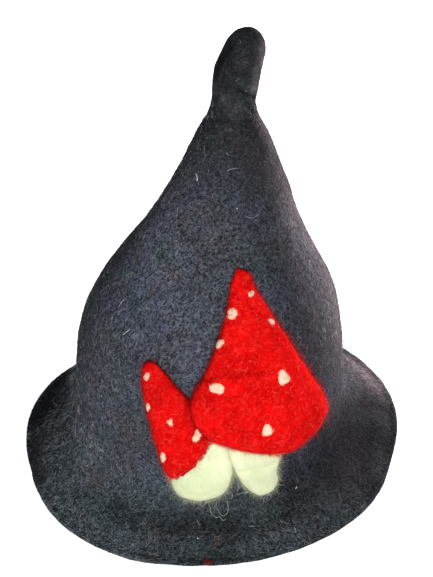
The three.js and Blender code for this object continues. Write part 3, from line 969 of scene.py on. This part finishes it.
def mixed(tree, share, first, second):
    """A colour between two, each of them a colour or another node's output."""
    node = tree.nodes.new("ShaderNodeMix")
    node.data_type = "RGBA"
    tree.links.new(share, node.inputs["Factor"])
    for socket, colour in zip(MIX_COLOURS, (first, second)):
        if isinstance(colour, tuple):
            node.inputs[socket].default_value = (*colour, 1)
        else:
            tree.links.new(colour, node.inputs[socket])
    return node.outputs[MIX_RESULT]


def scaled(tree, colour, value):
    """A colour made brighter or darker by a value."""
    node = tree.nodes.new("ShaderNodeVectorMath")
    node.operation = "SCALE"
    tree.links.new(colour, node.inputs["Vector"])
    tree.links.new(value, node.inputs["Scale"])
    return node.outputs["Vector"]


def add_bump(tree, shader, heights):
    """Bumps of several heights, one over the other."""
    under = None
    for value, depth in heights:
        node = tree.nodes.new("ShaderNodeBump")
        node.inputs["Distance"].default_value = depth
        tree.links.new(value, node.inputs["Height"])
        if under is not None:
            tree.links.new(under, node.inputs["Normal"])
        under = node.outputs["Normal"]
    tree.links.new(under, shader.inputs["Normal"])


def felt_tone(tree):
    """The felt's drifting colour: blue and grey on the crown, greener on the brim, dark on the finger."""
    height = object_height(tree)
    patches = {}
    for name in ("drift", "green", "stain"):
        pattern = object_noise(tree, MM, **FELT_PATTERNS[name])
        patches[name] = spread(tree, pattern, *FELT_RANGES[name])
    crown = mixed(tree, patches["drift"], FELT_BLUE, FELT_GREY)
    lower = mixed(tree, spread(tree, height, *BRIM_RISE), FELT_BRIM, crown)
    whole = mixed(tree, spread(tree, height, *FINGER_RISE), lower, FELT_FINGER)
    greened = mixed(tree, patches["green"], whole, FELT_TEAL)
    stained = mixed(tree, patches["stain"], greened, FELT_PURPLE)
    # Painted rose rim light on the felt's right side
    rim_lit = mixed(tree, vertex_value(tree, "rim_light_rose"), stained, FELT_RIM_LIGHT_ROSE)
    # The painted light and shade kept at the vertices darkens or lightens the felt
    return scaled(tree, rim_lit, vertex_value(tree, "painted_light"))


def felt_material():
    """Matted charcoal felt: drifting colour, clumps of fibre with dark pits that are partly painted shade,
    and curly ridges.
    """
    material, tree, shader = start_material("dark_felt", FELT_SURFACE)
    clump = object_noise(tree, MM, **FELT_PATTERNS["clump"])
    strand = object_noise(tree, MM, **FELT_PATTERNS["strand"])
    tone = felt_tone(tree)
    # Darker where the clump bump is low and paler where it is high: partly the felt's own mottle, partly
    # painted shade
    clumped = scaled(tree, tone, spread(tree, clump, *FELT_RANGES["clump"]))
    stranded = scaled(tree, clumped, spread(tree, strand, *FELT_RANGES["strand"]))
    finger = spread(tree, object_height(tree), *FINGER_RISE, 0.0, FINGER_SMOOTH)
    # Where the rose rim light is painted, the fine pattern is smoothed out
    edge = spread(tree, vertex_value(tree, "rim_light_rose"), 0.0, 1.0, 0.0, RIM_LIGHT_SMOOTH)
    smoothed = mixed(tree, edge, mixed(tree, finger, stranded, tone), tone)
    tree.links.new(smoothed, shader.inputs["Base Color"])
    add_bump(tree, shader, [(clump, CLUMP_BUMP), (strand, STRAND_BUMP)])
    return material


def wool_material(name, colours, fine, depth, rim=None):
    """Needle-felted wool: a main colour with deeper hollows partly in painted shade, paler swirls, fine bumps
    and perhaps a rim.
    """
    main, deep, pale = colours
    material, tree, shader = start_material(name, WOOL_SURFACE)
    patterns = {kind: object_noise(tree, fine, **values) for kind, values in WOOL_PATTERNS.items()}
    shares = {kind: spread(tree, patterns[kind], *limits) for kind, limits in WOOL_RANGES.items()}
    patched = mixed(tree, shares["patch"], deep, main)
    # The bump's hollows take the deeper colour: partly deeper wool, partly painted shade
    body = mixed(tree, shares["hollow"], deep, patched)
    streaked = mixed(tree, shares["swirl"], body, pale)
    if rim is not None:
        streaked = mixed(tree, vertex_value(tree, "rim"), streaked, rim)
    # The painted light and shade kept at the vertices darkens or lightens the wool
    tree.links.new(scaled(tree, streaked, vertex_value(tree, "painted_light")), shader.inputs["Base Color"])
    add_bump(tree, shader, [(patterns["hollow"], depth), (patterns["strand"], depth / WOOL_STRAND_PART)])
    return material


def fibre_material(name):
    """Single fibres, whose colour drifts from place to place, and on the felt also takes its painted light
    and shade.
    """
    _, first, second = FIBRE_TONES[name]
    material, tree, shader = start_material(name, FIBRE_SURFACE)
    drift = spread(tree, object_noise(tree, MM, **FIBRE_PATTERN), *FIBRE_RANGE)
    colour = mixed(tree, drift, first, second)
    if name in FELT_TONES:
        colour = scaled(tree, colour, spread(tree, vertex_value(tree, "painted_light"), *FIBRE_PAINTED_LIGHT_RANGE, *FIBRE_PAINTED_LIGHT_RANGE))
    tree.links.new(colour, shader.inputs["Base Color"])
    return material


# Floor and light

def make_floor():
    """A plain pale floor under the brim, which glows white but casts no light on the hat."""
    half = FLOOR_SIZE / 2
    corners = [(-half, -half, 0), (half, -half, 0), (half, half, 0), (-half, half, 0)]
    mesh = bpy.data.meshes.new("floor")
    mesh.from_pydata(corners, [], [(0, 1, 2, 3)])
    material, _, _ = start_material("floor_white", FLOOR_SURFACE)
    mesh.materials.append(material)
    floor = bpy.data.objects.new("floor", mesh)
    bpy.context.scene.collection.objects.link(floor)
    floor.visible_diffuse = False


def make_light(row):
    """One large soft lamp, turned to the hat."""
    bearing = math.radians(row["bearing"])
    elevation = math.radians(row["elevation"])
    level = Vector((math.sin(bearing), -math.cos(bearing), 0))
    away = level * math.cos(elevation) + Vector((0, 0, math.sin(elevation)))
    data = bpy.data.lights.new(row["name"], "AREA")
    data.shape = "DISK"
    data.size = row["size"]
    data.energy = row["power"]
    data.color = row["colour"]
    lamp = bpy.data.objects.new(row["name"], data)
    lamp.location = LIGHT_AIM + away * row["distance"]
    lamp.rotation_euler = (-away).to_track_quat("-Z", "Y").to_euler()
    bpy.context.scene.collection.objects.link(lamp)


def make_world():
    """Even white light from all round."""
    world = bpy.data.worlds.new("studio")
    world.use_nodes = True
    background = world.node_tree.nodes["Background"]
    background.inputs["Color"].default_value = (*WORLD_WHITE, 1)
    background.inputs["Strength"].default_value = WORLD_STRENGTH
    scene = bpy.context.scene
    scene.world = world
    scene.view_settings.view_transform = "Standard"


# Assembly

def add_fibres(name, mesh, tone, fibres):
    """Shows a mesh of fibres as a piece, in the material of its tone."""
    add_piece(name, mesh, fibres[tone], FIBRE_TONES[tone][0])


def add_felt(fibres):
    """The felt hat and the fibres that lie on it."""
    mesh = felt_mesh()
    add_piece("felt_hat", mesh, felt_material(), "dark_felt", "hat_body")
    tree = tree_of(mesh)
    for row in FELT_FIBRES:
        made = fibre_mesh(row, mesh, tree, felt_share)
        # The fibres take the felt's painted light and shade
        paint_light_and_shade(made, "hat_body", tree)
        add_fibres(row["name"], made, row["tone"], fibres)
    return mesh


def add_toadstools(felt, fibres):
    """The caps and stems in wool, and their fibres."""
    red = wool_material("red_wool", (CAP_RED, CAP_DEEP_RED, CAP_PINK), **CAP_WOOL)
    pale = wool_material("pale_wool", (STEM_PALE, STEM_SHADE, STEM_PALE), **STEM_WOOL)
    meshes = {}
    for number, node in enumerate(("large_cap", "small_cap", "large_stem", "small_stem")):
        is_cap = node.endswith("cap")
        mesh = wool_mesh(node, CAP_LUMPS if is_cap else STEM_LUMPS, WOOL_SEED + number)
        slot = "red_wool" if is_cap else "pale_wool"
        piece = add_piece(node + "_wool", mesh, red if is_cap else pale, slot, node)
        meshes[node] = mesh
    for row in WOOL_FIBRES:
        mesh = meshes[row["on"]]
        add_fibres(row["name"], fibre_mesh(row, mesh, tree_of(mesh)), row["tone"], fibres)
    felt_tree = tree_of(felt)
    for row in HAIRS:
        made = hair_mesh(row, meshes[row["on"]], felt_tree)
        add_fibres(row["name"], made, row["tone"], fibres)
    return meshes


def add_dots(meshes, fibres):
    """The cream dots, each with a few loose fibres of its own."""
    cream = wool_material("dot_wool", (DOT_CREAM, DOT_SHADE, DOT_CREAM), **DOT_WOOL, rim=DOT_RIM)
    for number, row in enumerate(DOTS):
        cap = meshes[row["node"].rsplit("_dot", 1)[0]]
        mesh = dot_mesh(row, tree_of(cap))
        paint_light_and_shade(mesh, row["node"], tree_of(mesh))
        add_piece(row["node"] + "_tuft", mesh, cream, "dot_wool", row["node"])
        kind = dict(DOT_FIBRES, name=row["node"] + "_fibres", seed=DOT_FIBRES["seed"] + number)
        add_fibres(kind["name"], fibre_mesh(kind, mesh, tree_of(mesh, cap)), "dot_fibre", fibres)


def add_strays(felt, meshes, fibres):
    """The single stray fibres and small tufts that lie on the hat."""
    whole = tree_of(felt, *meshes.values())
    for tone in STRAYS:
        add_fibres(tone + "s", stray_mesh(tone, whole), tone, fibres)
    for row in FRINGES:
        add_fibres(row["name"], fringe_mesh(row, whole), row["tone"], fibres)
    for number, row in enumerate(TUFTS):
        add_fibres(row["name"], tuft_mesh(row, whole, TUFT_SEED + number), row["tone"], fibres)


make_camera()
make_world()
make_floor()
for light in LIGHTS:
    make_light(light)
fibre_materials = {tone: fibre_material(tone) for tone in FIBRE_TONES}
felt_hat = add_felt(fibre_materials)
toadstools = add_toadstools(felt_hat, fibre_materials)
add_dots(toadstools, fibre_materials)
add_strays(felt_hat, toadstools, fibre_materials)
